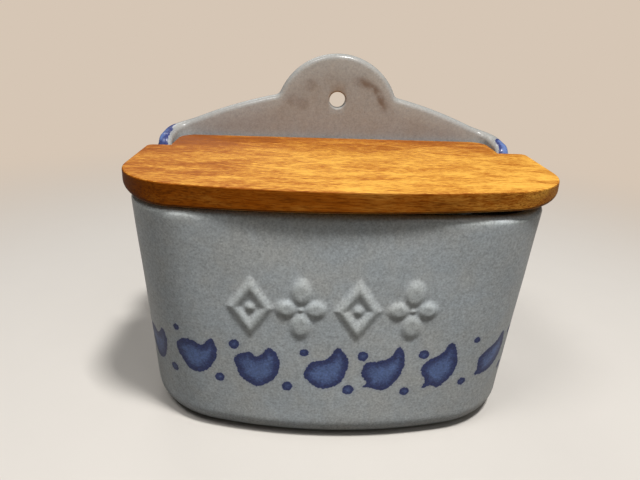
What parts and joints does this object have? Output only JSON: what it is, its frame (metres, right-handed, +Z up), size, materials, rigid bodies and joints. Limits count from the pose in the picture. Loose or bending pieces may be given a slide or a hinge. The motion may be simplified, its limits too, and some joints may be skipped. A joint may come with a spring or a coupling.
{
  "type": "wall salt box",
  "caption": "Wall-hung glazed stoneware salt box with a domed hanging plate and a hinged wooden lid that opens up and back.",
  "frame": {"origin": "on the surface the box stands on, under the middle of the whole box with its lid closed", "axes": "+X to the viewer's right, +Y towards the wall the box hangs on, +Z up; the lid's front edge faces -Y"},
  "size_m": [0.1672, 0.1006, 0.146],
  "materials": {
    "glazed_stoneware": "satin-gloss grey salt glaze with fine speckle and cobalt sponged marks",
    "varnished_wood": "varnished honey-brown board, grain along X",
    "pin_steel": "dull steel"
  },
  "bodies": {
    "tub": {"stoneware_box": "glazed_stoneware"},
    "lid": {"wooden_lid": "varnished_wood", "hinge_pin_left": "pin_steel", "hinge_pin_right": "pin_steel"}
  },
  "joints": [
    {"name": "lid_hinge", "type": "hinge", "parent": "tub", "child": "lid", "pos_m": [0, 0.02965, 0.1031], "axis": [-1, 0, 0], "range_deg": [0, 100]}
  ]
}
